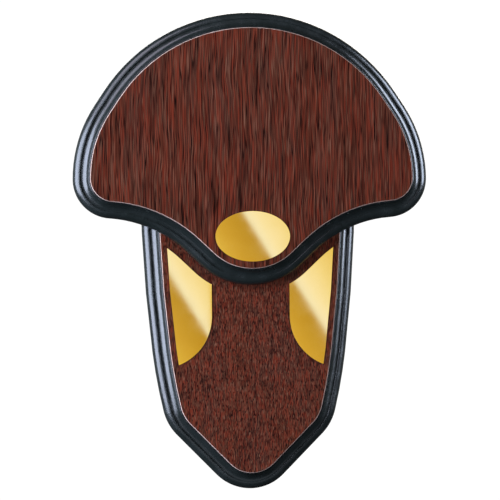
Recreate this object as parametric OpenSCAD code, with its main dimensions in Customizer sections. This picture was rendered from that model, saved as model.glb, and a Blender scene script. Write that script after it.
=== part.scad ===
// Two-board display plaque for a game bird's tail fan.
// A fan-shaped front board is drawn against a tapering back board by three screws.
// Both boards are MDF with a moulded black edge and a thin wood-grain face sheet,
// and three blank brass plates are stuck to the faces.
// +Z is up, the front faces -Y, and the wall is the plane y = 0.
// The origin is the middle of the keyhole hanger's entry hole, on that plane.

/* [Boards] */
// Width of the fan-shaped front board
front_w = 254; // [205:1:310]
// Height of the front board
front_h = 195; // [160:1:240]
// How far the front board's crown stands above the back board
front_rise = 36; // [28:1:44]
// Width of the back board at its widest
back_w = 155; // [128:1:188]
// Height of the back board
back_h = 305; // [250:1:368]
// Thickness of each board's MDF core
core_t = 15.2; // [12.6:0.1:18.4]
// Thickness of each face sheet, which is also the width of its bevel
sheet_t = 0.8; // [0.6:0.1:1]

/* [Moulded edge] */
// Radius of the rounded bead at the rim
bead_r = 4.7; // [3.8:0.1:5.7]
// Radius of the hollow cove inside the bead
cove_r = 5; // [4.1:0.1:6]
// Depth of the step between the bead and the cove
quirk_d = 0.6; // [0.4:0.1:1]
// Width of the flats at both ends of the cove
flat_w = 0.7; // [0.5:0.1:1.2]
// Height of the step that carries the face sheet
lip_h = 0.9; // [0.6:0.1:1.2]

/* [Brass plates] */
// Thickness of each brass plate
plate_t = 0.5; // [0.3:0.1:1]
// Thickness of the adhesive film behind each plate
tape_t = 0.15; // [0.1:0.05:0.3]
// How far the film stops short of the plate's edge
tape_margin = 1; // [0.5:0.1:2]
// Width of the oval plate
oval_w = 53.5; // [45:0.5:65]
// Height of the oval plate
oval_h = 36; // [30:0.5:44]
// Distance from the front face sheet's lower end to the oval plate
oval_margin = 4.6; // [2.5:0.1:6]
// Distance from the back face sheet's side to a side plate
side_margin = 4.1; // [2.5:0.1:6]
// Gap between the front board's lower edge and a side plate
side_gap = 6.5; // [5:0.5:8]
// Half the gap between the two side plates
side_inner_x = 28; // [22:0.5:33]
// How far the side plate's straight inner edge runs below the front board
side_drop = 22; // [17:0.5:27]
// Radius of the side plate's lower edge
side_r = 37.5; // [31:0.5:46]

/* [Board screws] */
// Diameter over the thread of a board screw
screw_d = 4.2; // [3.4:0.1:5]
// Diameter of the screw's pan head
screw_head_d = 8; // [6.6:0.1:9.6]
// Height of the pan head
screw_head_h = 2.4; // [2:0.1:2.9]
// Depth of the counterbore that hides the head
screw_sink = 4; // [3.4:0.1:4.8]
// Thickness of the front board's core left past the screw holes
screw_web = 1.5; // [1:0.1:2.5]
// Distance between the two upper screws
screw_span = 96; // [80:1:110]
// Distance from the back board's top to the upper screws
screw_drop = 36; // [30:1:44]
// Height of the lower screw above the front board's lower end
screw_rise = 46; // [38:1:56]

/* [Keyhole hanger] */
// Distance from the back board's top to the entry hole
keyhole_drop = 38; // [34:1:46]
// Height of the hanger plate
hanger_h = 44.5; // [38:0.5:53]
// Width of the hanger plate
hanger_w = 16; // [13.5:0.5:19]
// Thickness of the hanger plate
hanger_t = 1.5; // [1.3:0.1:1.8]
// Radius of the entry hole that passes over the wall screw's head
entry_r = 4.75; // [4:0.05:5.7]
// Width of the slot that grips the wall screw
slot_w = 4.5; // [3.8:0.1:5.4]
// Height of the slot's upper end above the middle of the entry hole
slot_rise = 9; // [7.5:0.5:10.5]
// Room behind the hanger plate for the wall screw's head
head_room = 6; // [5:0.5:7]
// Distance from each end of the hanger plate to its screw
hanger_end = 4.75; // [4:0.25:5.5]
// Diameter of a hanger screw's shank
hanger_screw_d = 2.8; // [2.4:0.1:3.3]
// Diameter of its countersunk head
hanger_head_d = 5.6; // [4.7:0.1:6.6]
// Length of a hanger screw
hanger_screw_len = 11; // [9.5:0.5:12]

/* [Clearances] */
// Radial clearance of a board screw in the front board's hole
run_clear = 0.06; // [0.04:0.01:0.1]
// Radial clearance of a board screw through the back board
pass_clear = 0.2; // [0.1:0.05:0.3]
// Radial clearance round a screw head in its counterbore
head_clear = 0.75; // [0.5:0.05:1]
// Clearance round the hanger plate in its recess
hanger_clear = 0.25; // [0.15:0.05:0.4]
// Depth left free past the tip of a board screw
tip_clear = 0.3; // [0.2:0.1:0.5]

/* [Hidden] */
$fn = 48;
board_colour = "#2b2624";
sheet_colour = "#603b2e";
brass_colour = "#d8b04a";
film_colour = "#e9e4d6";
zinc_colour = "#b4b6b2";

// The fan outline's arcs, at the size it is drawn
fan_w = 254;
fan_h = 195;
crown_r = 125;
wing_drop = 119;      // from the crown down to the widest line
wing_r = 95;
wing_tip_r = 28;
wing_tip_turn = 86;   // angle that the wing's tip turns through
hollow_r = 89;
fan_foot_r = 52;

// The back board outline's arcs, at the size it is drawn
shield_w = 155;
shield_h = 305;
arch_r = 150;         // top edge
shoulder_r = 18;
taper_drop = 78;      // from the top down to where the taper begins
side_arc_r = 1045;
side_turn = 7.1;      // slant of the side where its first arc ends
flank_r = 380;
flank_turn = 13.5;    // slant of the side where its second arc ends
haunch_r = 37;        // lower corners
shield_foot_r = 33.5;

arc_step = 3.6;       // angle between stations on an arc
edge_steps = 5;       // facets round the bead and round the cove
driver_slot = 0.8;    // width of the cross recess in a board screw's head

back_t = core_t + sheet_t;
back_top = keyhole_drop;
front_top = back_top + front_rise;
front_low = front_top - front_h;
front_face = 2 * back_t;

cove_low = core_t - lip_h - cove_r;
bead_mid = cove_low + quirk_d - bead_r;
cove_in = bead_r + flat_w;
sheet_in = cove_in + cove_r + flat_w;
sheet_face_in = sheet_in + sheet_t;

upper_screw_z = back_top - screw_drop;
lower_screw_z = front_low + screw_rise;
screw_places = [[-screw_span / 2, upper_screw_z],
                [screw_span / 2, upper_screw_z],
                [0, lower_screw_z]];
screw_hole_end = back_t + core_t - screw_web;
screw_len = screw_hole_end - tip_clear - screw_sink;

slot_top = slot_rise - slot_w / 2;
hanger_mid = slot_top / 3;
hanger_half = hanger_h / 2 - hanger_end;
hanger_screw_places = [[0, hanger_mid - hanger_half], [0, hanger_mid + hanger_half]];

// ---- outlines: a station is [point, outward normal] ----

function u(a) = [cos(a), sin(a)];

// Stations round an arc. open = 1 leaves its end to the arc that follows,
// and side = -1 is for an arc whose centre lies outside the board.
function arc(c, r, a0, a1, open = 0, side = 1) =
    let (n = max(3, ceil(abs(a1 - a0) / arc_step)))
    [for (i = [0 : n - open]) let (a = a0 + (a1 - a0) * i / n) [c + r * u(a), side * u(a)]];

// Angle of the normal to a straight run that touches circles at c0 and c1.
// reach is r0 + r1 where the circles lie on its two sides, and r0 - r1 where on one.
function run_angle(c0, c1, reach, turn) =
    let (d = c1 - c0) atan2(d.y, d.x) + turn * acos(reach / norm(d));

// Right half of the fan from crown to foot, with its crown at height 0
function fan_half() =
    let (x = fan_w / 2,
         crown_c = [0, -crown_r],
         wing_c = [x - wing_r, -wing_drop],
         wing_tip_c = [x - wing_tip_r, -wing_drop],
         hollow_c = wing_tip_c + (wing_tip_r + hollow_r) * u(-wing_tip_turn),
         foot_c = [0, fan_foot_r - fan_h],
         side_a = run_angle(crown_c, wing_c, crown_r - wing_r, 1),
         skirt_a = run_angle(foot_c, hollow_c, fan_foot_r + hollow_r, -1))
    concat(arc(crown_c, crown_r, 90, side_a),
           arc(wing_c, wing_r, side_a, 0, open = 1),
           arc(wing_tip_c, wing_tip_r, 0, -wing_tip_turn, open = 1),
           arc(hollow_c, hollow_r, 180 - wing_tip_turn, 180 + skirt_a, side = -1),
           arc(foot_c, fan_foot_r, skirt_a, -90));

// Right half of the back board from arch to foot, with its top at height 0
function shield_half() =
    let (x = shield_w / 2,
         arch_c = [0, -arch_r],
         shoulder_x = x - shoulder_r,
         shoulder_z = sqrt(pow(arch_r - shoulder_r, 2) - pow(shoulder_x, 2)) - arch_r,
         shoulder_a = atan2(shoulder_z + arch_r, shoulder_x),
         side_c = [x - side_arc_r, -taper_drop],
         flank_c = side_c + (side_arc_r - flank_r) * u(-side_turn),
         haunch_c = flank_c + (flank_r - haunch_r) * u(-flank_turn),
         foot_c = [0, shield_foot_r - shield_h],
         skirt_a = run_angle(foot_c, haunch_c, shield_foot_r - haunch_r, -1))
    concat(arc(arch_c, arch_r, 90, shoulder_a, open = 1),
           arc([shoulder_x, shoulder_z], shoulder_r, shoulder_a, 0),
           arc(side_c, side_arc_r, 0, -side_turn, open = 1),
           arc(flank_c, flank_r, -side_turn, -flank_turn, open = 1),
           arc(haunch_c, haunch_r, -flank_turn, skirt_a),
           arc(foot_c, shield_foot_r, skirt_a, -90));

// A station stretched to a board's own size, with the board's top at height top
function sized(s, wide, high, top) =
    let (n = [s[1].x / wide, s[1].y / high])
    [[s[0].x * wide, s[0].y * high + top], n / norm(n)];

function mirrored(s) = [[-s[0].x, s[0].y], [-s[1].x, s[1].y]];

// The whole outline, clockwise from its top as seen from the front
function whole(half, wide, high, top) =
    let (right = [for (s = half) sized(s, wide, high, top)])
    concat(right, [for (i = [len(right) - 2 : -1 : 1]) mirrored(right[i])]);

fan = whole(fan_half(), front_w / fan_w, front_h / fan_h, front_top);
shield = whole(shield_half(), back_w / shield_w, back_h / shield_h, back_top);

// Points of an outline set in from the rim by d
function inset(outline, d) = [for (s = outline) s[0] - d * s[1]];

// ---- edge sections: [distance in from the rim, height above the board's rear] ----

quarter = [for (i = [0 : edge_steps]) 90 * i / edge_steps];
edge = concat([[0, 0]],
              [for (a = quarter) [bead_r * (1 - cos(a)), bead_mid + bead_r * sin(a)]],
              [[bead_r, cove_low]],
              [for (a = quarter) [cove_in + cove_r * sin(a), cove_low + cove_r * (1 - cos(a))]],
              [[sheet_in, core_t - lip_h], [sheet_in, core_t]]);
bevel = [[sheet_in, 0], [sheet_face_in, sheet_t]];

// ---- shared shapes ----

// Lays a flat shape, drawn in x and z, at a distance in front of the wall
module lay(y, thick) {
    translate([0, -y, 0]) rotate([90, 0, 0]) linear_extrude(thick) children();
}

// Solid with the outline's rim and the given edge section, starting at distance y
module moulded(outline, section, y) {
    n = len(outline);
    m = len(section);
    points = [for (s = section, p = inset(outline, s[0])) [p.x, -y - s[1], p.y]];
    rear = [for (j = [n - 1 : -1 : 0]) j];
    front = [for (j = [0 : n - 1]) (m - 1) * n + j];
    wall = [for (i = [0 : m - 2], j = [0 : n - 1])
            let (a = i * n + j, b = i * n + (j + 1) % n)
            each [[a, b, a + n], [b, b + n, a + n]]];
    polyhedron(points, concat([rear, front], wall));
}

// Upright slot with round ends centred at two heights
module slot_shape(r, low, high) {
    translate([0, low]) circle(r);
    translate([0, high]) circle(r);
    translate([-r, low]) square([2 * r, high - low]);
}

// Round hole or shank along Y at a place on the board, between two distances from the wall
module drill(place, r, y0, y1) {
    translate([place.x, -y0, place.y]) rotate([90, 0, 0]) cylinder(r = r, h = y1 - y0);
}

module screw_holes(r, y0, y1) {
    for (p = screw_places) drill(p, r, y0, y1);
}

// ---- boards ----

module back_board() {
    color(board_colour) difference() {
        moulded(shield, edge, 0);
        screw_holes(screw_head_d / 2 + head_clear, -1, screw_sink);
        screw_holes(screw_d / 2 + pass_clear, screw_sink - 1, core_t + 1);
        lay(-1, hanger_t + 1) hanger_shape(hanger_clear);
        lay(-1, hanger_t + head_room + 1) slot_shape(entry_r + hanger_clear, 0, slot_top);
        for (p = hanger_screw_places) drill(p, hanger_screw_d / 2, 0, hanger_screw_len);
    }
}

module back_face_sheet() {
    color(sheet_colour) difference() {
        moulded(shield, bevel, core_t);
        screw_holes(screw_d / 2 + pass_clear, core_t - 1, back_t + 1);
    }
}

module front_board() {
    color(board_colour) difference() {
        moulded(fan, edge, back_t);
        screw_holes(screw_d / 2 + run_clear, back_t - 1, screw_hole_end);
    }
}

module front_face_sheet() {
    color(sheet_colour) moulded(fan, bevel, back_t + core_t);
}

// ---- brass plates and their adhesive film ----

// trim takes a margin off all round
module oval_shape(trim) {
    translate([0, front_low + sheet_face_in + oval_margin + oval_h / 2])
        polygon([for (a = [0 : 5 : 355])
                 [(oval_w / 2 - trim) * cos(a), (oval_h / 2 - trim) * sin(a)]]);
}

// Right side plate: clear of the front board, and inside the back face sheet's side
module side_shape(trim) {
    turn_z = front_low - side_drop;
    difference() {
        intersection() {
            polygon(inset(shield, sheet_face_in + side_margin + trim));
            union() {
                translate([side_inner_x + trim, turn_z]) square([back_w, front_h]);
                translate([side_inner_x + side_r, turn_z]) circle(side_r - trim, $fn = 96);
            }
        }
        polygon(inset(fan, -side_gap - trim));
    }
}

module oval_plate() {
    color(brass_colour) lay(front_face + tape_t, plate_t) oval_shape(0);
}

module oval_plate_tape() {
    color(film_colour) lay(front_face, tape_t) oval_shape(tape_margin);
}

module right_plate() {
    color(brass_colour) lay(back_t + tape_t, plate_t) side_shape(0);
}

module right_plate_tape() {
    color(film_colour) lay(back_t, tape_t) side_shape(tape_margin);
}

module left_plate() {
    mirror([1, 0, 0]) right_plate();
}

module left_plate_tape() {
    mirror([1, 0, 0]) right_plate_tape();
}

// ---- fasteners and hanger ----

// Pan-head screw driven from behind, with a cross recess in its head
module board_screw(place) {
    point = screw_d;
    head_r = screw_head_d / 2;
    recess = screw_head_h * 0.6;
    translate([place.x, -screw_sink, place.y]) rotate([90, 0, 0]) {
        translate([0, 0, -screw_head_h]) difference() {
            rotate_extrude() intersection() {
                translate([0, screw_head_h]) circle(head_r);
                square([head_r, screw_head_h]);
            }
            for (a = [0, 90]) rotate([0, 0, a])
                translate([-screw_d / 2, -driver_slot / 2, -1])
                    cube([screw_d, driver_slot, 1 + recess]);
        }
        cylinder(d = screw_d, h = screw_len - point);
        translate([0, 0, screw_len - point]) cylinder(d1 = screw_d, d2 = 0.4, h = point);
    }
}

module board_screws() {
    color(zinc_colour) for (p = screw_places) board_screw(p);
}

module hanger_shape(grow) {
    reach = hanger_h / 2 - hanger_w / 2;
    slot_shape(hanger_w / 2 + grow, hanger_mid - reach, hanger_mid + reach);
}

// Countersunk head, flush with the hanger's rear
module hanger_sink(place) {
    translate([place.x, 0, place.y]) rotate([90, 0, 0])
        cylinder(d1 = hanger_head_d, d2 = hanger_screw_d, h = hanger_t);
}

module keyhole_hanger() {
    color(zinc_colour) difference() {
        lay(0, hanger_t) hanger_shape(0);
        drill([0, 0], entry_r, -1, hanger_t + 1);
        lay(-1, hanger_t + 2) slot_shape(slot_w / 2, 0, slot_top);
        for (p = hanger_screw_places) hanger_sink(p);
    }
}

module hanger_screws() {
    slot_l = hanger_head_d * 0.5;
    slot_t = driver_slot * 0.75;
    color(zinc_colour) for (p = hanger_screw_places) difference() {
        union() {
            hanger_sink(p);
            drill(p, hanger_screw_d / 2, hanger_t, hanger_screw_len);
        }
        translate([p.x, 0, p.y]) for (a = [0, 90]) rotate([0, a, 0])
            cube([slot_l, hanger_t * 0.8, slot_t], center = true);
    }
}

back_board();
back_face_sheet();
front_board();
front_face_sheet();
oval_plate();
oval_plate_tape();
left_plate();
left_plate_tape();
right_plate();
right_plate_tape();
board_screws();
keyhole_hanger();
hanger_screws();
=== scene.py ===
# Fan-mount plaque: two moulded boards, a face sheet on each and three blank brass plates,
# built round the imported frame. Metres, +Z up, the front faces -Y and the wall is y = 0.
import math

import bmesh
import bpy
from mathutils import Matrix, Vector


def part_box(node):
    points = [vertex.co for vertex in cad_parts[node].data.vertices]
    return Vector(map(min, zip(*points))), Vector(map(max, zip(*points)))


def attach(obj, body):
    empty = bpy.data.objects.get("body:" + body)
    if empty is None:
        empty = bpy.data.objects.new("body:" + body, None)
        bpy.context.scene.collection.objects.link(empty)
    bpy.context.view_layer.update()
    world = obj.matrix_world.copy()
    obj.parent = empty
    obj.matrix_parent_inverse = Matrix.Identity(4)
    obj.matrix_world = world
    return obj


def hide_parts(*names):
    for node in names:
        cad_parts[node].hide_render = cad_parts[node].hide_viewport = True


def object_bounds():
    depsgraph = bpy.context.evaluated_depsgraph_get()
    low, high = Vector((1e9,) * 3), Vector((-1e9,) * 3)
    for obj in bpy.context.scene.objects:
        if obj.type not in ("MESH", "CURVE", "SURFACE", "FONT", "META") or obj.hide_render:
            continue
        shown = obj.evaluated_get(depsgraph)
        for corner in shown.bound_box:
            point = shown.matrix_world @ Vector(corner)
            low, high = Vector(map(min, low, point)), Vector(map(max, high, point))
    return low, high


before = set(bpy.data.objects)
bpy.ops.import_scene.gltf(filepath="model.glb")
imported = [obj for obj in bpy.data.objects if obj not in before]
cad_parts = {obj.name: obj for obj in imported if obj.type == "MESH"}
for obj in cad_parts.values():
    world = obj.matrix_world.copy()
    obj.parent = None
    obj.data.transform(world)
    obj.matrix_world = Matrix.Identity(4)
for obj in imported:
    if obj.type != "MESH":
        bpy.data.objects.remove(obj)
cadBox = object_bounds()
scene = bpy.context.scene
mm = 0.001
flatEnough = 0.999                           # a face whose normal is this near an axis is square to it
print("frame loaded:", len(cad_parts), "nodes")


def linear(hexColour):
    # sRGB hex to the linear colour that a socket takes
    parts = [int(hexColour[i:i + 2], 16) / 255 for i in (1, 3, 5)]
    return [p / 12.92 if p <= 0.04045 else ((p + 0.055) / 1.055) ** 2.4 for p in parts] + [1.0]


def addNode(tree, kind, settings=None, values=None, links=None):
    # One node with its settings, its sockets' values and its links. A hex value is a colour
    node = tree.nodes.new(kind)
    for key, value in (settings or {}).items():
        setattr(node, key, value)
    for key, value in (values or {}).items():
        node.inputs[key].default_value = linear(value) if isinstance(value, str) else value
    for key, source in (links or {}).items():
        tree.links.new(source, node.inputs[key])
    return node


colourMix = {"data_type": "RGBA"}            # its factor is input 0, its colours 6 and 7, its result output 2
smoothRange = {"interpolation_type": "SMOOTHSTEP"}
noiseSpan = {"From Min": 0.3, "From Max": 0.7}    # where nearly all of a noise's values lie


def newMaterial(name):
    # A material with its output and an empty principled shader
    material = bpy.data.materials.new(name)
    material.use_nodes = True
    tree = material.node_tree
    tree.nodes.clear()
    shader = addNode(tree, "ShaderNodeBsdfPrincipled")
    addNode(tree, "ShaderNodeOutputMaterial", links={"Surface": shader.outputs["BSDF"]})
    return material, tree, shader


def grainField(tree, across, along, detail, drift, seed):
    # Noise drawn out along the grain: across and along are its real sizes in mm
    coord = addNode(tree, "ShaderNodeTexCoord").outputs["Object"]
    drifted = addNode(tree, "ShaderNodeVectorMath", {"operation": "ADD"}, links={0: coord, 1: drift})
    place = addNode(tree, "ShaderNodeMapping",
                    values={"Location": (seed, seed * 0.7, seed * 1.3),
                            "Scale": (1 / (across * mm), 1 / (across * mm), 1 / (along * mm))},
                    links={"Vector": drifted.outputs["Vector"]})
    noise = addNode(tree, "ShaderNodeTexNoise", values={"Scale": 1.0, "Detail": detail, "Roughness": 0.55},
                    links={"Vector": place.outputs["Vector"]})
    return noise.outputs["Fac"]


def waver(tree, size, amount, seed):
    # Slow sideways drift of the grain, size and amount in mm
    coord = addNode(tree, "ShaderNodeTexCoord").outputs["Object"]
    place = addNode(tree, "ShaderNodeMapping",
                    values={"Location": (seed, 0, seed),
                            "Scale": (1 / (size * mm), 0, 1 / (size * 1.6 * mm))},
                    links={"Vector": coord})
    noise = addNode(tree, "ShaderNodeTexNoise", values={"Scale": 1.0, "Detail": 1.5},
                    links={"Vector": place.outputs["Vector"]})
    centred = addNode(tree, "ShaderNodeMath", {"operation": "SUBTRACT"}, {1: 0.5}, {0: noise.outputs["Fac"]})
    scaled = addNode(tree, "ShaderNodeMath", {"operation": "MULTIPLY"}, {1: amount * mm},
                     {0: centred.outputs["Value"]})
    return addNode(tree, "ShaderNodeCombineXYZ", links={"X": scaled.outputs["Value"]}).outputs["Vector"]


# Mahogany-print melamine face sheet: red-brown satin print with fine dark pores and redder
# streaks, its grain upright. The pores are coarser than a real print's, so that they show.
# Sizes in mm: tone, streak, pore and fleck each have a width across the grain and a length along it
def mahoganySheet(name, look):
    material, tree, shader = newMaterial(name)
    drift = waver(tree, look["waverSize"], look["waverBy"], look["seed"])
    tone = grainField(tree, look["toneAcross"], look["toneAlong"], 2.0, drift, look["seed"] + 3)
    streak = grainField(tree, look["streakAcross"], look["streakAlong"], 2.0, drift, look["seed"] + 7)
    cells = grainField(tree, look["poreAcross"], look["poreAlong"], 1.0, drift, look["seed"] + 11)
    fleck = grainField(tree, look["fleckAcross"], look["fleckAlong"], 1.0, drift, look["seed"] + 17)
    offset = addNode(tree, "ShaderNodeMath", {"operation": "SUBTRACT"}, {1: 0.5}, {0: cells})
    ridge = addNode(tree, "ShaderNodeMath", {"operation": "ABSOLUTE"}, links={0: offset.outputs[0]})
    pore = addNode(tree, "ShaderNodeMapRange", smoothRange, {"From Min": look["poreWidth"], "From Max": 0.01},
                   {"Value": ridge.outputs[0]}).outputs["Result"]    # thin dark lines between the cells
    layers = [(tone, look["toneLevels"], look["mauve"]), (streak, look["redLevels"], look["red"]),
              (fleck, look["fleckLevels"], look["light"]), (pore, None, look["dark"])]
    under = None                                                 # the first layer lies on plain brown
    for field, levels, colour in layers:
        if levels:
            level = addNode(tree, "ShaderNodeMapRange", smoothRange,
                            {"From Min": levels[0], "From Max": levels[1]}, {"Value": field})
            field = level.outputs["Result"]
        mix = addNode(tree, "ShaderNodeMix", colourMix, {6: look["brown"], 7: colour}, {0: field})
        if under is not None:
            tree.links.new(under, mix.inputs[6])
        under = mix.outputs[2]
    tree.links.new(under, shader.inputs["Base Color"])
    rough = addNode(tree, "ShaderNodeMapRange", smoothRange,
                    {"From Min": 0.2, "From Max": 0.9, "To Min": look["rough"], "To Max": look["poreRough"]},
                    {"Value": pore})
    tree.links.new(rough.outputs["Result"], shader.inputs["Roughness"])
    shader.inputs["IOR"].default_value = 1.46
    shader.inputs["Specular IOR Level"].default_value = 0.13
    height = addNode(tree, "ShaderNodeMapRange", smoothRange, {"From Min": 0.9, "From Max": 0.1},
                     {"Value": pore})
    bump = addNode(tree, "ShaderNodeBump", values={"Strength": 0.25, "Distance": 0.05 * mm},
                   links={"Height": height.outputs["Result"]})
    tree.links.new(bump.outputs["Normal"], shader.inputs["Normal"])
    return material


frontGrain = mahoganySheet("mahoganyPrintFront", {
    "seed": 2.0, "waverSize": 30, "waverBy": 5.0,
    "toneAcross": 12, "toneAlong": 110, "streakAcross": 1.1, "streakAlong": 32,
    "poreAcross": 0.72, "poreAlong": 44, "poreWidth": 0.075, "fleckAcross": 0.45, "fleckAlong": 20,
    "brown": "#472217", "mauve": "#46251c", "red": "#5f2518", "light": "#684637", "dark": "#0e0504",
    "toneLevels": (0.35, 0.65), "redLevels": (0.44, 0.62), "fleckLevels": (0.53, 0.72),
    "rough": 0.5, "poreRough": 0.62})
backGrain = mahoganySheet("mahoganyPrintBack", {
    "seed": 31.0, "waverSize": 22, "waverBy": 2.5,
    "toneAcross": 22, "toneAlong": 90, "streakAcross": 0.8, "streakAlong": 6,
    "poreAcross": 0.7, "poreAlong": 7, "poreWidth": 0.08, "fleckAcross": 0.45, "fleckAlong": 4,
    "brown": "#4a2519", "mauve": "#46271e", "red": "#602619", "light": "#694737", "dark": "#140706",
    "toneLevels": (0.35, 0.65), "redLevels": (0.42, 0.62), "fleckLevels": (0.52, 0.70),
    "rough": 0.5, "poreRough": 0.62})

# Black nitrocellulose lacquer sprayed on routed MDF: near black with broad soft highlights
# and a faint orange peel. Sizes in mm
lacquerLook = {"peel": 1.6, "peelDepth": 0.08, "peelStrength": 0.35, "cloud": 9,
               "dark": "#131716", "light": "#1b2020", "smooth": 0.2, "dull": 0.28, "ior": 1.5}


def blackLacquer(look):
    material, tree, shader = newMaterial("blackLacquer")
    coord = addNode(tree, "ShaderNodeTexCoord").outputs["Object"]
    peel = addNode(tree, "ShaderNodeTexNoise", values={"Scale": 1 / (look["peel"] * mm), "Detail": 2.0},
                   links={"Vector": coord})
    cloud = addNode(tree, "ShaderNodeTexNoise", values={"Scale": 1 / (look["cloud"] * mm), "Detail": 3.0},
                    links={"Vector": coord})
    colour = addNode(tree, "ShaderNodeMix", colourMix, {6: look["dark"], 7: look["light"]},
                     {0: cloud.outputs["Fac"]})
    tree.links.new(colour.outputs[2], shader.inputs["Base Color"])
    rough = addNode(tree, "ShaderNodeMapRange", smoothRange,
                    {**noiseSpan, "To Min": look["smooth"], "To Max": look["dull"]},
                    {"Value": cloud.outputs["Fac"]})
    tree.links.new(rough.outputs["Result"], shader.inputs["Roughness"])
    shader.inputs["IOR"].default_value = look["ior"]
    bump = addNode(tree, "ShaderNodeBump",
                   values={"Strength": look["peelStrength"], "Distance": look["peelDepth"] * mm},
                   links={"Height": peel.outputs["Fac"]})
    tree.links.new(bump.outputs["Normal"], shader.inputs["Normal"])
    return material


# Pale kraft core of the face sheet, bared on its bevel: the thin light line round the face.
# Lacquer covers the bevel's foot and print its top, each between two shares of its depth
coreLook = {"lacquer": "#161515", "lacquerEnds": (0.62, 0.45), "print": "#2c1512", "printStarts": 0.93,
            "dark": "#a0867c", "light": "#c2aaa0", "fibre": 1.2, "rough": 0.6}


def paleCore(name, low, high, look):
    material, tree, shader = newMaterial(name)
    coord = addNode(tree, "ShaderNodeTexCoord").outputs["Object"]
    depth = addNode(tree, "ShaderNodeSeparateXYZ", links={"Vector": coord}).outputs["Y"]
    clear, covered = (low + share * (high - low) for share in look["lacquerEnds"])
    lacquered = addNode(tree, "ShaderNodeMapRange", smoothRange, {"From Min": clear, "From Max": covered},
                        {"Value": depth})
    printed = addNode(tree, "ShaderNodeMapRange", smoothRange,
                      {"From Min": low + look["printStarts"] * (high - low), "From Max": high},
                      {"Value": depth})
    fibre = addNode(tree, "ShaderNodeTexNoise", values={"Scale": 1 / (look["fibre"] * mm), "Detail": 3.0},
                    links={"Vector": coord})
    fibreLevel = addNode(tree, "ShaderNodeMapRange", smoothRange, noiseSpan, {"Value": fibre.outputs["Fac"]})
    pale = addNode(tree, "ShaderNodeMix", colourMix, {6: look["dark"], 7: look["light"]},
                   {0: fibreLevel.outputs["Result"]})
    sprayed = addNode(tree, "ShaderNodeMix", colourMix, {7: look["lacquer"]},
                      {0: lacquered.outputs["Result"], 6: pale.outputs[2]})
    colour = addNode(tree, "ShaderNodeMix", colourMix, {7: look["print"]},
                     {0: printed.outputs["Result"], 6: sprayed.outputs[2]})
    tree.links.new(colour.outputs[2], shader.inputs["Base Color"])
    shader.inputs["Roughness"].default_value = look["rough"]
    return material


# Raw medium-density fibreboard: warm brown with a fine fibre fleck, drawn coarser than real
# fibres so that it shows, and a mist of black lacquer that drifted round the rim. Sizes in mm
fibreboardLook = {"patch": 35, "patchColours": ("#a98660", "#b8966e"), "fibre": 0.9, "fibreColour": "#7d5c3b",
                  "fibreLevels": (0.45, 0.75), "fibreDepth": 0.1, "fibreStrength": 0.4, "speck": 2.2,
                  "mistLevels": (0.62, 1.15), "mistColour": "#191b1b", "rough": 0.85}


def rawFibreboard(look):
    material, tree, shader = newMaterial("rawFibreboard")
    coord = addNode(tree, "ShaderNodeTexCoord").outputs["Object"]
    fibre = addNode(tree, "ShaderNodeTexNoise",
                    values={"Scale": 1 / (look["fibre"] * mm), "Detail": 4.0, "Roughness": 0.7},
                    links={"Vector": coord})
    patch = addNode(tree, "ShaderNodeTexNoise", values={"Scale": 1 / (look["patch"] * mm), "Detail": 2.0},
                    links={"Vector": coord})
    speck = addNode(tree, "ShaderNodeTexNoise",
                    values={"Scale": 1 / (look["speck"] * mm), "Detail": 4.0, "Roughness": 0.75},
                    links={"Vector": coord})
    patchLevel = addNode(tree, "ShaderNodeMapRange", smoothRange, noiseSpan, {"Value": patch.outputs["Fac"]})
    base = addNode(tree, "ShaderNodeMix", colourMix,
                   {6: look["patchColours"][0], 7: look["patchColours"][1]},
                   {0: patchLevel.outputs["Result"]})
    fibreLevel = addNode(tree, "ShaderNodeMapRange", smoothRange,
                         {"From Min": look["fibreLevels"][0], "From Max": look["fibreLevels"][1]},
                         {"Value": fibre.outputs["Fac"]})
    flecked = addNode(tree, "ShaderNodeMix", colourMix, {7: look["fibreColour"]},
                      {0: fibreLevel.outputs["Result"], 6: base.outputs[2]})
    spray = addNode(tree, "ShaderNodeAttribute", {"attribute_name": "overspray"})
    edge = addNode(tree, "ShaderNodeMath", {"operation": "ADD"},
                   links={0: spray.outputs["Fac"], 1: speck.outputs["Fac"]})
    mist = addNode(tree, "ShaderNodeMapRange", smoothRange,
                   {"From Min": look["mistLevels"][0], "From Max": look["mistLevels"][1]},
                   {"Value": edge.outputs[0]})
    colour = addNode(tree, "ShaderNodeMix", colourMix, {7: look["mistColour"]},
                     {0: mist.outputs["Result"], 6: flecked.outputs[2]})
    tree.links.new(colour.outputs[2], shader.inputs["Base Color"])
    shader.inputs["Roughness"].default_value = look["rough"]
    bump = addNode(tree, "ShaderNodeBump",
                   values={"Strength": look["fibreStrength"], "Distance": look["fibreDepth"] * mm},
                   links={"Height": fibre.outputs["Fac"]})
    tree.links.new(bump.outputs["Normal"], shader.inputs["Normal"])
    return material


# Polished, lacquered brass sheet: a clear warm mirror with a slight haze. Sizes in mm
brassLook = {"haze": 14, "deep": "#e3b955", "bright": "#e9c162", "smooth": 0.045, "dull": 0.07}


def polishedBrass(look):
    material, tree, shader = newMaterial("polishedBrass")
    coord = addNode(tree, "ShaderNodeTexCoord").outputs["Object"]
    haze = addNode(tree, "ShaderNodeTexNoise", values={"Scale": 1 / (look["haze"] * mm), "Detail": 3.0},
                   links={"Vector": coord})
    colour = addNode(tree, "ShaderNodeMix", colourMix, {6: look["deep"], 7: look["bright"]},
                     {0: haze.outputs["Fac"]})
    tree.links.new(colour.outputs[2], shader.inputs["Base Color"])
    rough = addNode(tree, "ShaderNodeMapRange", smoothRange,
                    {**noiseSpan, "To Min": look["smooth"], "To Max": look["dull"]},
                    {"Value": haze.outputs["Fac"]})
    tree.links.new(rough.outputs["Result"], shader.inputs["Roughness"])
    shader.inputs["Metallic"].default_value = 1.0
    return material


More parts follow.
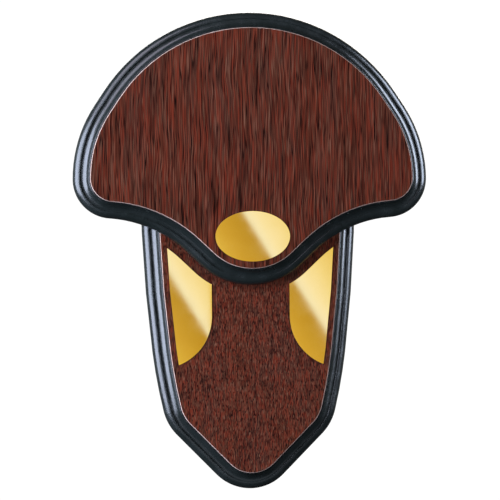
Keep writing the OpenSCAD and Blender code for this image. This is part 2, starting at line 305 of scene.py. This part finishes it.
# Acrylic adhesive film: milky and slightly soft, seen only at a plate's edge. Sizes in mm
filmLook = {"cloud": 4, "dark": "#ddd8c8", "light": "#ece8dc", "rough": 0.5}


def adhesiveFilm(look):
    material, tree, shader = newMaterial("adhesiveFilm")
    coord = addNode(tree, "ShaderNodeTexCoord").outputs["Object"]
    cloud = addNode(tree, "ShaderNodeTexNoise", values={"Scale": 1 / (look["cloud"] * mm)},
                    links={"Vector": coord})
    colour = addNode(tree, "ShaderNodeMix", colourMix, {6: look["dark"], 7: look["light"]},
                     {0: cloud.outputs["Fac"]})
    tree.links.new(colour.outputs[2], shader.inputs["Base Color"])
    shader.inputs["Roughness"].default_value = look["rough"]
    return material


# Zinc-plated steel: cool grey metal with a faint cloudy plating. Sizes in mm
zincLook = {"cloud": 3, "dark": "#a9acad", "light": "#c6c8c6", "smooth": 0.28, "dull": 0.42}


def zincPlate(look):
    material, tree, shader = newMaterial("zincPlatedSteel")
    coord = addNode(tree, "ShaderNodeTexCoord").outputs["Object"]
    cloud = addNode(tree, "ShaderNodeTexNoise", values={"Scale": 1 / (look["cloud"] * mm), "Detail": 3.0},
                    links={"Vector": coord})
    colour = addNode(tree, "ShaderNodeMix", colourMix, {6: look["dark"], 7: look["light"]},
                     {0: cloud.outputs["Fac"]})
    tree.links.new(colour.outputs[2], shader.inputs["Base Color"])
    rough = addNode(tree, "ShaderNodeMapRange", smoothRange,
                    {**noiseSpan, "To Min": look["smooth"], "To Max": look["dull"]},
                    {"Value": cloud.outputs["Fac"]})
    tree.links.new(rough.outputs["Result"], shader.inputs["Roughness"])
    shader.inputs["Metallic"].default_value = 1.0
    return material


lacquer = blackLacquer(lacquerLook)
fibreboard = rawFibreboard(fibreboardLook)
brass = polishedBrass(brassLook)
film = adhesiveFilm(filmLook)
zinc = zincPlate(zincLook)
print("materials made:", len(bpy.data.materials))


def pick(kind, test):
    # In edit mode, selects only the faces or edges that pass a test
    mesh = bmesh.from_edit_mesh(bpy.context.edit_object.data)
    bpy.ops.mesh.select_mode(type=kind)
    bpy.ops.mesh.select_all(action="DESELECT")
    for item in (mesh.faces if kind == "FACE" else mesh.edges):
        item.select_set(test(item))
    mesh.select_flush_mode()
    bmesh.update_edit_mesh(bpy.context.edit_object.data)


def applyModifier(piece, kind, **settings):
    bpy.context.view_layer.objects.active = piece
    modifier = piece.modifiers.new(kind.title(), kind)
    for key, value in settings.items():
        setattr(modifier, key, value)
    bpy.ops.object.modifier_apply(modifier=modifier.name)


# How a CAD node's copy is cleaned: doubles within weld mm join, faces within flat degrees
# dissolve, and facets under smooth degrees shade as one, which is less than an eased arris turns
cleaning = {"weld": 0.002, "flat": 0.2, "smooth": 20}


def mergedCopy(nodeName, name, arris=0.0, arrisAngle=60):
    # A piece from a CAD node: its loose triangles joined, its arrises eased and its facets smoothed
    bpy.ops.object.select_all(action="DESELECT")
    piece = bpy.data.objects.new(name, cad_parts[nodeName].data.copy())
    scene.collection.objects.link(piece)
    piece.data.materials.clear()
    piece.select_set(True)
    bpy.context.view_layer.objects.active = piece
    bpy.ops.object.mode_set(mode="EDIT")
    bpy.ops.mesh.select_all(action="SELECT")
    bpy.ops.mesh.remove_doubles(threshold=cleaning["weld"] * mm)
    bpy.ops.mesh.customdata_custom_splitnormals_clear()
    bpy.ops.mesh.dissolve_limited(angle_limit=math.radians(cleaning["flat"]), delimit={"NORMAL"})
    bpy.ops.object.mode_set(mode="OBJECT")
    if arris:
        applyModifier(piece, "BEVEL", width=arris * mm, segments=2, limit_method="ANGLE",
                      angle_limit=math.radians(arrisAngle), use_clamp_overlap=False)
    bpy.ops.object.shade_smooth_by_angle(angle=math.radians(cleaning["smooth"]))
    return piece


def settle(piece, node, body):
    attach(piece, body)
    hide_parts(node)
    print("piece ready:", piece.name, len(piece.data.polygons), "faces")


# The boards' drilled and recessed places, where raw board shows: (x, z, radius) in mm. The back
# board's last three circles cover the hanger's recess
holes = {"back_board": [(-48, 2, 6), (48, 2, 6), (0, -75, 6), (0, -15.5, 9.5), (0, 2, 21), (0, 16, 9.7)],
         "front_board": [(-48, 2, 4), (48, 2, 4), (0, -75, 4)]}

# Both boards, in mm: arris at the edges steeper than steep degrees, lacquer mist in from the
# rear's rim, and how far ahead of the rear a flat is bare because the face sheet covers it
moulding = {"arris": 0.2, "steep": 50, "mist": 6.0, "covered": 15.1, "onRear": 0.01}


def buildBoard(nodeName, name, body):
    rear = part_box(nodeName)[1].y
    board = mergedCopy(nodeName, name, moulding["arris"], moulding["steep"])
    bpy.ops.object.mode_set(mode="EDIT")
    pick("FACE", lambda face: face.normal.y > flatEnough
         and abs(face.calc_center_median().y - rear) < moulding["onRear"] * mm)
    bpy.ops.mesh.inset(thickness=moulding["mist"] * mm)
    bpy.ops.object.mode_set(mode="OBJECT")
    board.data.materials.append(lacquer)
    board.data.materials.append(fibreboard)
    for face in board.data.polygons:
        centre = face.center
        inHole = any((centre.x / mm - x) ** 2 + (centre.z / mm - z) ** 2 < r * r
                     for x, z, r in holes[nodeName])
        facesRear = face.normal.y > flatEnough
        underSheet = face.normal.y < -flatEnough and centre.y < rear - moulding["covered"] * mm
        face.material_index = 1 if inHole or facesRear or underSheet else 0
    spray = board.data.attributes.new("overspray", "FLOAT", "POINT")
    for face in board.data.polygons:
        if face.material_index == 0:
            for vertex in face.vertices:
                spray.data[vertex].value = 1.0
    settle(board, nodeName, body)
    return board


backBoard = buildBoard("back_board", "backBoard", "back")
frontBoard = buildBoard("front_board", "frontBoard", "front")


def buildSheet(nodeName, name, body, grain):
    sheet = mergedCopy(nodeName, name)
    low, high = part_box(nodeName)
    sheet.data.materials.append(grain)
    sheet.data.materials.append(paleCore(name + "Core", high.y, low.y, coreLook))
    for face in sheet.data.polygons:
        face.material_index = 0 if face.normal.y < -flatEnough else 1
    settle(sheet, nodeName, body)


buildSheet("back_face_sheet", "backFaceSheet", "back", backGrain)
buildSheet("front_face_sheet", "frontFaceSheet", "front", frontGrain)


# Eased arrises of the stamped and turned metal pieces, in mm
metalArris = {"plate": 0.12, "hanger": 0.22, "hangerScrews": 0.06}


def buildPlate(nodeName, name, body):
    plate = mergedCopy(nodeName, name, metalArris["plate"])
    plate.data.materials.append(brass)
    settle(plate, nodeName, body)
    return plate


plates = [buildPlate("oval_plate", "ovalPlate", "front"),
          buildPlate("left_plate", "leftPlate", "back"),
          buildPlate("right_plate", "rightPlate", "back")]

for nodeName in ("oval_plate_tape", "left_plate_tape", "right_plate_tape"):
    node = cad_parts[nodeName]
    node.data.materials.clear()
    node.data.materials.append(film)

# Pan-head board screws, driven from behind. Sizes in mm; head, core and ridge are radii. The
# point and the recess narrow to a share of their width
boardScrew = {"head": 4.0, "headHeight": 2.4, "dome": 1.3, "core": 1.5, "length": 27.8, "point": 4.2,
              "pointShare": 0.08, "pitch": 1.6, "ridge": 0.55, "threadStart": 1.2, "threadSteps": 20,
              "recess": (4.6, 1.15, 1.7), "recessShare": 0.55, "cutterAbove": 1.0, "rear": 1.6,
              "sides": 32, "domeSteps": 5, "smooth": 35,
              "places": {"Left": (-48, 2), "Right": (48, 2), "Lower": (0, -75)}}


def addCrossCutter():
    # Two crossed tapering bars that cut the driver's recess
    long, wide, deep = (v * mm for v in boardScrew["recess"])
    above, share = boardScrew["cutterAbove"] * mm, boardScrew["recessShare"]
    bars = []
    for turn in (0, 90):
        bpy.ops.object.select_all(action="DESELECT")
        bpy.ops.mesh.primitive_cube_add(size=1, location=(0, 0, (deep - above) / 2),
                                        rotation=(0, 0, math.radians(turn)))
        bar = bpy.context.object
        bar.scale = (long, wide, deep + above)
        bpy.ops.object.transform_apply(location=False, rotation=True, scale=True)
        bpy.ops.object.mode_set(mode="EDIT")
        pick("FACE", lambda face: face.normal.z > flatEnough)
        bpy.ops.transform.resize(value=(share, share, 1))
        bpy.ops.object.mode_set(mode="OBJECT")
        bars.append(bar)
    return bars


def addBoardScrew():
    size = boardScrew
    height, shank = size["headHeight"] * mm, (size["length"] - size["headHeight"] - size["point"]) * mm
    bpy.ops.object.select_all(action="DESELECT")
    bpy.ops.mesh.primitive_cylinder_add(vertices=size["sides"], radius=size["head"] * mm, depth=height,
                                        location=(0, 0, height / 2))
    screw = bpy.context.object
    bpy.ops.object.transform_apply(location=True)
    bpy.ops.object.mode_set(mode="EDIT")
    pick("EDGE", lambda edge: all(v.co.z < height / 2 for v in edge.verts))
    bpy.ops.mesh.bevel(offset=size["dome"] * mm, segments=size["domeSteps"], profile=0.5)
    pick("FACE", lambda face: face.normal.z > flatEnough)
    bpy.ops.mesh.inset(thickness=(size["head"] - size["core"]) * mm)
    bpy.ops.mesh.extrude_region_move(TRANSFORM_OT_translate={"value": (0, 0, shank)})
    bpy.ops.mesh.extrude_region_move(TRANSFORM_OT_translate={"value": (0, 0, size["point"] * mm)})
    bpy.ops.transform.resize(value=(size["pointShare"], size["pointShare"], 1))
    bpy.ops.object.mode_set(mode="OBJECT")
    for cutter in addCrossCutter():
        applyModifier(screw, "BOOLEAN", operation="DIFFERENCE", object=cutter)
        bpy.data.objects.remove(cutter)
    turns = int(shank / (size["pitch"] * mm)) - 1
    bpy.ops.object.select_all(action="DESELECT")
    bpy.ops.mesh.primitive_circle_add(vertices=4, radius=size["ridge"] * mm,
                                      location=(size["core"] * mm, 0, height + size["threadStart"] * mm),
                                      rotation=(math.radians(90), 0, 0))
    thread = bpy.context.object
    bpy.ops.object.transform_apply(location=True, rotation=True)
    applyModifier(thread, "SCREW", axis="Z", steps=size["threadSteps"], render_steps=size["threadSteps"],
                  iterations=turns, screw_offset=size["pitch"] * mm, use_merge_vertices=False)
    bpy.ops.object.mode_set(mode="EDIT")
    bpy.ops.mesh.select_mode(type="EDGE")
    bpy.ops.mesh.select_all(action="DESELECT")
    bpy.ops.mesh.select_non_manifold()
    bpy.ops.mesh.fill_holes(sides=0)
    bpy.ops.mesh.select_all(action="SELECT")
    bpy.ops.mesh.normals_make_consistent(inside=False)
    bpy.ops.object.mode_set(mode="OBJECT")
    screw.select_set(True)
    thread.select_set(True)
    bpy.context.view_layer.objects.active = screw
    bpy.ops.object.join()
    bpy.ops.object.shade_smooth_by_angle(angle=math.radians(size["smooth"]))
    screw.data.materials.clear()
    screw.data.materials.append(zinc)
    return screw


patternScrew = addBoardScrew()
for place, (x, z) in boardScrew["places"].items():
    screw = patternScrew.copy()
    screw.data = patternScrew.data.copy()
    screw.name = "boardScrew" + place
    scene.collection.objects.link(screw)
    bpy.ops.object.select_all(action="DESELECT")
    screw.select_set(True)
    bpy.context.view_layer.objects.active = screw
    screw.rotation_euler = (math.radians(90), 0, 0)
    screw.location = (x * mm, -boardScrew["rear"] * mm, z * mm)
    bpy.ops.object.transform_apply(location=True, rotation=True)
    settle(screw, "board_screws", "back")
bpy.data.objects.remove(patternScrew)

hanger = mergedCopy("keyhole_hanger", "keyholeHanger", metalArris["hanger"])
hanger.data.materials.append(zinc)
settle(hanger, "keyhole_hanger", "back")
hangerScrews = mergedCopy("hanger_screws", "hangerScrews", metalArris["hangerScrews"])
hangerScrews.data.materials.append(zinc)
settle(hangerScrews, "hanger_screws", "back")

# Camera, a little to the plaque's left and just below its middle. Angles are in degrees, lens
# and sensor in mm, and right and up move the aim across the view
view = {"azimuth": -6.5, "elevation": -1.0, "distance": 2.5, "aim": (0, 0, -0.0945), "lens": 249.75,
        "sensor": 36, "reach": 50, "roll": 0.47, "right": 1.6 * mm, "up": -1.2 * mm}


def addCamera():
    az, el = math.radians(view["azimuth"]), math.radians(view["elevation"])
    back = Vector((math.sin(az) * math.cos(el), -math.cos(az) * math.cos(el), math.sin(el)))
    right = Vector((math.cos(az), math.sin(az), 0))
    up = back.cross(right)
    aim = Vector(view["aim"]) + view["right"] * right + view["up"] * up
    turn = math.radians(view["roll"])
    right, up = (right * math.cos(turn) - up * math.sin(turn),
                 up * math.cos(turn) + right * math.sin(turn))
    data = bpy.data.cameras.new("camera")
    data.sensor_width = view["sensor"]
    data.lens = view["lens"]
    data.clip_end = view["reach"]
    camera = bpy.data.objects.new("camera", data)
    scene.collection.objects.link(camera)
    camera.matrix_world = Matrix.Translation(aim + back * view["distance"]) @ Matrix(
        (right, up, back)).transposed().to_4x4()
    scene.camera = camera


addCamera()

# Soft studio light, all aimed at lampAim. Places and sizes are in metres. A diffuse lamp lights
# everything and isn't mirrored, both is mirrored as well, gloss is only mirrored in the boards
# and brass only in the plates
lampAim = (0, 0, -0.08)
softboxes = {
    "leftSoftbox": {"place": (-1.35, -0.55, 0.08), "size": (1.0, 1.2), "power": 88, "colour": "#dfeaff",
                    "lights": "diffuse"},
    "leftSheen": {"place": (-1.25, -0.75, 0.0), "size": (1.6, 1.2), "power": 92, "colour": "#dce6ff",
                  "lights": "gloss"},
    "rightSoftbox": {"place": (1.4, -0.75, 0.0), "size": (0.6, 1.0), "power": 26, "colour": "#e6efff",
                     "lights": "diffuse"},
    "rightSheen": {"place": (1.3, -0.85, 0.35), "size": (0.8, 1.1), "power": 62, "colour": "#dce8ff",
                   "lights": "gloss"},
    "topSoftbox": {"place": (-0.3, -1.5, 1.2), "size": (1.4, 0.9), "power": 10, "colour": "#fff6ee",
                   "lights": "diffuse"},
    "topSheen": {"place": (-0.9, -1.0, 1.1), "size": (1.2, 1.0), "power": 20, "colour": "#ece8ff",
                 "lights": "gloss"},
    "lowSheen": {"place": (-0.2, -1.2, -0.75), "size": (1.8, 0.3), "power": 1.1, "colour": "#eef2ff",
                 "lights": "gloss"},
    "rightGleam": {"place": (1.5, -0.8, 0.0), "size": (2.4, 2.4), "power": 15, "colour": "#fffaf0",
                   "lights": "brass"},
    "leftGleam": {"place": (-1.5, -0.8, 0.0), "size": (2.4, 2.4), "power": 15, "colour": "#fffaf0",
                  "lights": "brass"},
    "upperGleam": {"place": (0.0, -0.8, 1.5), "size": (2.4, 2.4), "power": 17, "colour": "#fffaf0",
                   "lights": "brass"},
    "lowerGleam": {"place": (0.0, -1.0, -0.75), "size": (2.4, 0.8), "power": 5, "colour": "#fff4e0",
                   "lights": "brass"},
    "rearSoftbox": {"place": (0.5, 1.6, 0.7), "size": (1.4, 1.2), "power": 32, "colour": "#fffaf2",
                    "lights": "both"}}

receivers = {}                               # the collections that a mirrored-only lamp shows in
for lightKind, pieces in (("gloss", [backBoard, frontBoard]), ("brass", plates)):
    receivers[lightKind] = bpy.data.collections.new(lightKind + "Receivers")
    for piece in pieces:
        receivers[lightKind].objects.link(piece)


def addSoftbox(name, box):
    data = bpy.data.lights.new(name, "AREA")
    data.shape = "RECTANGLE"
    data.size, data.size_y = box["size"]
    data.energy = box["power"]
    data.color = linear(box["colour"])[:3]
    lamp = bpy.data.objects.new(name, data)
    scene.collection.objects.link(lamp)
    lamp.visible_camera = False
    lamp.visible_diffuse = box["lights"] not in receivers
    lamp.visible_glossy = box["lights"] != "diffuse"
    if box["lights"] in receivers:
        lamp.light_linking.receiver_collection = receivers[box["lights"]]
    place = Vector(box["place"])
    towards = Vector(lampAim) - place
    lamp.matrix_world = Matrix.Translation(place) @ towards.to_track_quat("-Z", "Y").to_matrix().to_4x4()


for lampName, lampBox in softboxes.items():
    addSoftbox(lampName, lampBox)


# White to the camera. As light it is a white backdrop behind, dim in front and dark below: each
# row dims it along one axis, from one strength at start to another at end
backdrop = {"colour": "#e6ecee", "seenStrength": 1.05,
            "dimming": [{"axis": "Y", "start": -0.3, "end": 0.1, "first": 0.1, "last": 0.7},
                        {"axis": "Y", "start": 0.3, "end": 0.75, "first": 1.0, "last": 0.35},
                        {"axis": "Z", "start": -0.45, "end": 0.15, "first": 0.08, "last": 1.0},
                        {"axis": "Z", "start": 0.25, "end": 0.6, "first": 1.0, "last": 0.15}]}


def addWorld():
    world = bpy.data.worlds.new("studio")
    world.use_nodes = True
    tree = world.node_tree
    tree.nodes.clear()
    towards = addNode(tree, "ShaderNodeTexCoord").outputs["Generated"]
    parts = addNode(tree, "ShaderNodeSeparateXYZ", links={"Vector": towards})
    light = addNode(tree, "ShaderNodeBackground", values={"Color": backdrop["colour"]})
    level = None
    for row in backdrop["dimming"]:
        dimmed = addNode(tree, "ShaderNodeMapRange", smoothRange,
                         {"From Min": row["start"], "From Max": row["end"],
                          "To Min": row["first"], "To Max": row["last"]},
                         {"Value": parts.outputs[row["axis"]]}).outputs["Result"]
        if level is None:
            level = dimmed
        else:
            level = addNode(tree, "ShaderNodeMath", {"operation": "MULTIPLY"},
                            links={0: level, 1: dimmed}).outputs[0]
    tree.links.new(level, light.inputs["Strength"])
    white = addNode(tree, "ShaderNodeBackground",
                    values={"Color": (1, 1, 1, 1), "Strength": backdrop["seenStrength"]})
    seen = addNode(tree, "ShaderNodeLightPath").outputs["Is Camera Ray"]
    mix = addNode(tree, "ShaderNodeMixShader", links={"Fac": seen, 1: light.outputs[0], 2: white.outputs[0]})
    addNode(tree, "ShaderNodeOutputWorld", links={"Surface": mix.outputs[0]})
    scene.world = world
    scene.view_settings.view_transform = "Standard"


addWorld()

# Pale studio floor, well below the hanging plaque. It glows a little and lights nothing
studioFloor = {"size": 8, "height": -0.85, "colour": "#efefee", "rough": 0.7, "glow": 0.62}
bpy.ops.object.select_all(action="DESELECT")
bpy.ops.mesh.primitive_plane_add(size=studioFloor["size"], location=(0, 0, studioFloor["height"]))
floor = bpy.context.object
floor.name = "floor"
floorMaterial, _, floorShader = newMaterial("paleFloor")
floorShader.inputs["Base Color"].default_value = linear(studioFloor["colour"])
floorShader.inputs["Roughness"].default_value = studioFloor["rough"]
floorShader.inputs["Emission Color"].default_value = linear("#ffffff")
floorShader.inputs["Emission Strength"].default_value = studioFloor["glow"]
floor.data.materials.append(floorMaterial)
floor.visible_glossy = False                 # the lacquer mirrors the dark below instead
floor.visible_diffuse = False

# Graded card in front, seen only as the brass plates' reflection: gold deepens to a slanting
# line, breaks there to cream and fades back to gold. Distance, size and height are in metres.
# breaks: where the line crosses each plate, (x, z) in mm. apart: mm from the middle to where one
# plate's break gives way to the next. tones: mm right of the line, what is seen
card = {"distance": 0.3, "size": 0.4, "height": -0.13, "slope": 1.62, "apart": 27.4,
        "breaks": {"leftPlate": (-45.4, -131.2), "ovalPlate": (2.6, -84), "rightPlate": (43.5, -134)},
        "tones": [(-40, "#e6bd48"), (-22, "#d4a436"), (-1.8, "#be8f27"), (1.8, "#fff1c6"),
                  (9, "#ffe9ae"), (24, "#f8da88"), (44, "#e9c052")]}


def addCard():
    grow = 1 + card["distance"] / view["distance"]
    shift = (grow - 1) * scene.camera.matrix_world.translation   # a mirrored ray leaves the camera's far side
    bpy.ops.object.select_all(action="DESELECT")
    bpy.ops.mesh.primitive_plane_add(size=card["size"], rotation=(math.radians(90), 0, 0),
                                     location=(-shift.x, cadBox[0].y - card["distance"], card["height"]))
    sheet = bpy.context.object
    sheet.name = "reflectedCard"
    bpy.ops.object.transform_apply(location=True, rotation=True, scale=True)
    material = bpy.data.materials.new(sheet.name)
    material.use_nodes = True
    tree = material.node_tree
    tree.nodes.clear()
    coord = addNode(tree, "ShaderNodeTexCoord").outputs["Object"]
    parts = addNode(tree, "ShaderNodeSeparateXYZ", links={"Vector": coord})
    lean = addNode(tree, "ShaderNodeMath", {"operation": "MULTIPLY_ADD"}, {1: 1 / card["slope"]},
                   {0: parts.outputs["Z"], 2: parts.outputs["X"]}).outputs[0]
    starts = [x * mm * grow - shift.x + (z * mm * grow - shift.z) / card["slope"]
              for x, z in card["breaks"].values()]
    for k, side in enumerate((-1, 1)):                           # each plate has its own break
        past = addNode(tree, "ShaderNodeMath", {"operation": "GREATER_THAN"},
                       {1: side * card["apart"] * mm * grow - shift.x}, {0: parts.outputs["X"]})
        lean = addNode(tree, "ShaderNodeMath", {"operation": "MULTIPLY_ADD"},
                       {1: starts[k] - starts[k + 1]}, {0: past.outputs[0], 2: lean}).outputs[0]
    first, last = card["tones"][0][0], card["tones"][-1][0]
    along = addNode(tree, "ShaderNodeMapRange", {},
                    {"From Min": starts[0] + first * mm * grow, "From Max": starts[0] + last * mm * grow},
                    {"Value": lean})
    node = addNode(tree, "ShaderNodeValToRGB", links={"Fac": along.outputs["Result"]})
    elements = node.color_ramp.elements
    for i, (place, seen) in enumerate(card["tones"]):
        place = (place - first) / (last - first)
        element = elements[i] if i < 2 else elements.new(place)
        element.position = place
        element.color = [a / b for a, b in zip(linear(seen), linear(brassLook["bright"]))]
    glow = addNode(tree, "ShaderNodeEmission", links={"Color": node.outputs["Color"]})
    addNode(tree, "ShaderNodeOutputMaterial", links={"Surface": glow.outputs[0]})
    sheet.data.materials.append(material)
    sheet.visible_camera = False
    sheet.visible_shadow = False
    sheet.visible_diffuse = False
    sheet.light_linking.receiver_collection = receivers["brass"]


addCard()
print("camera, light, floor and card placed")
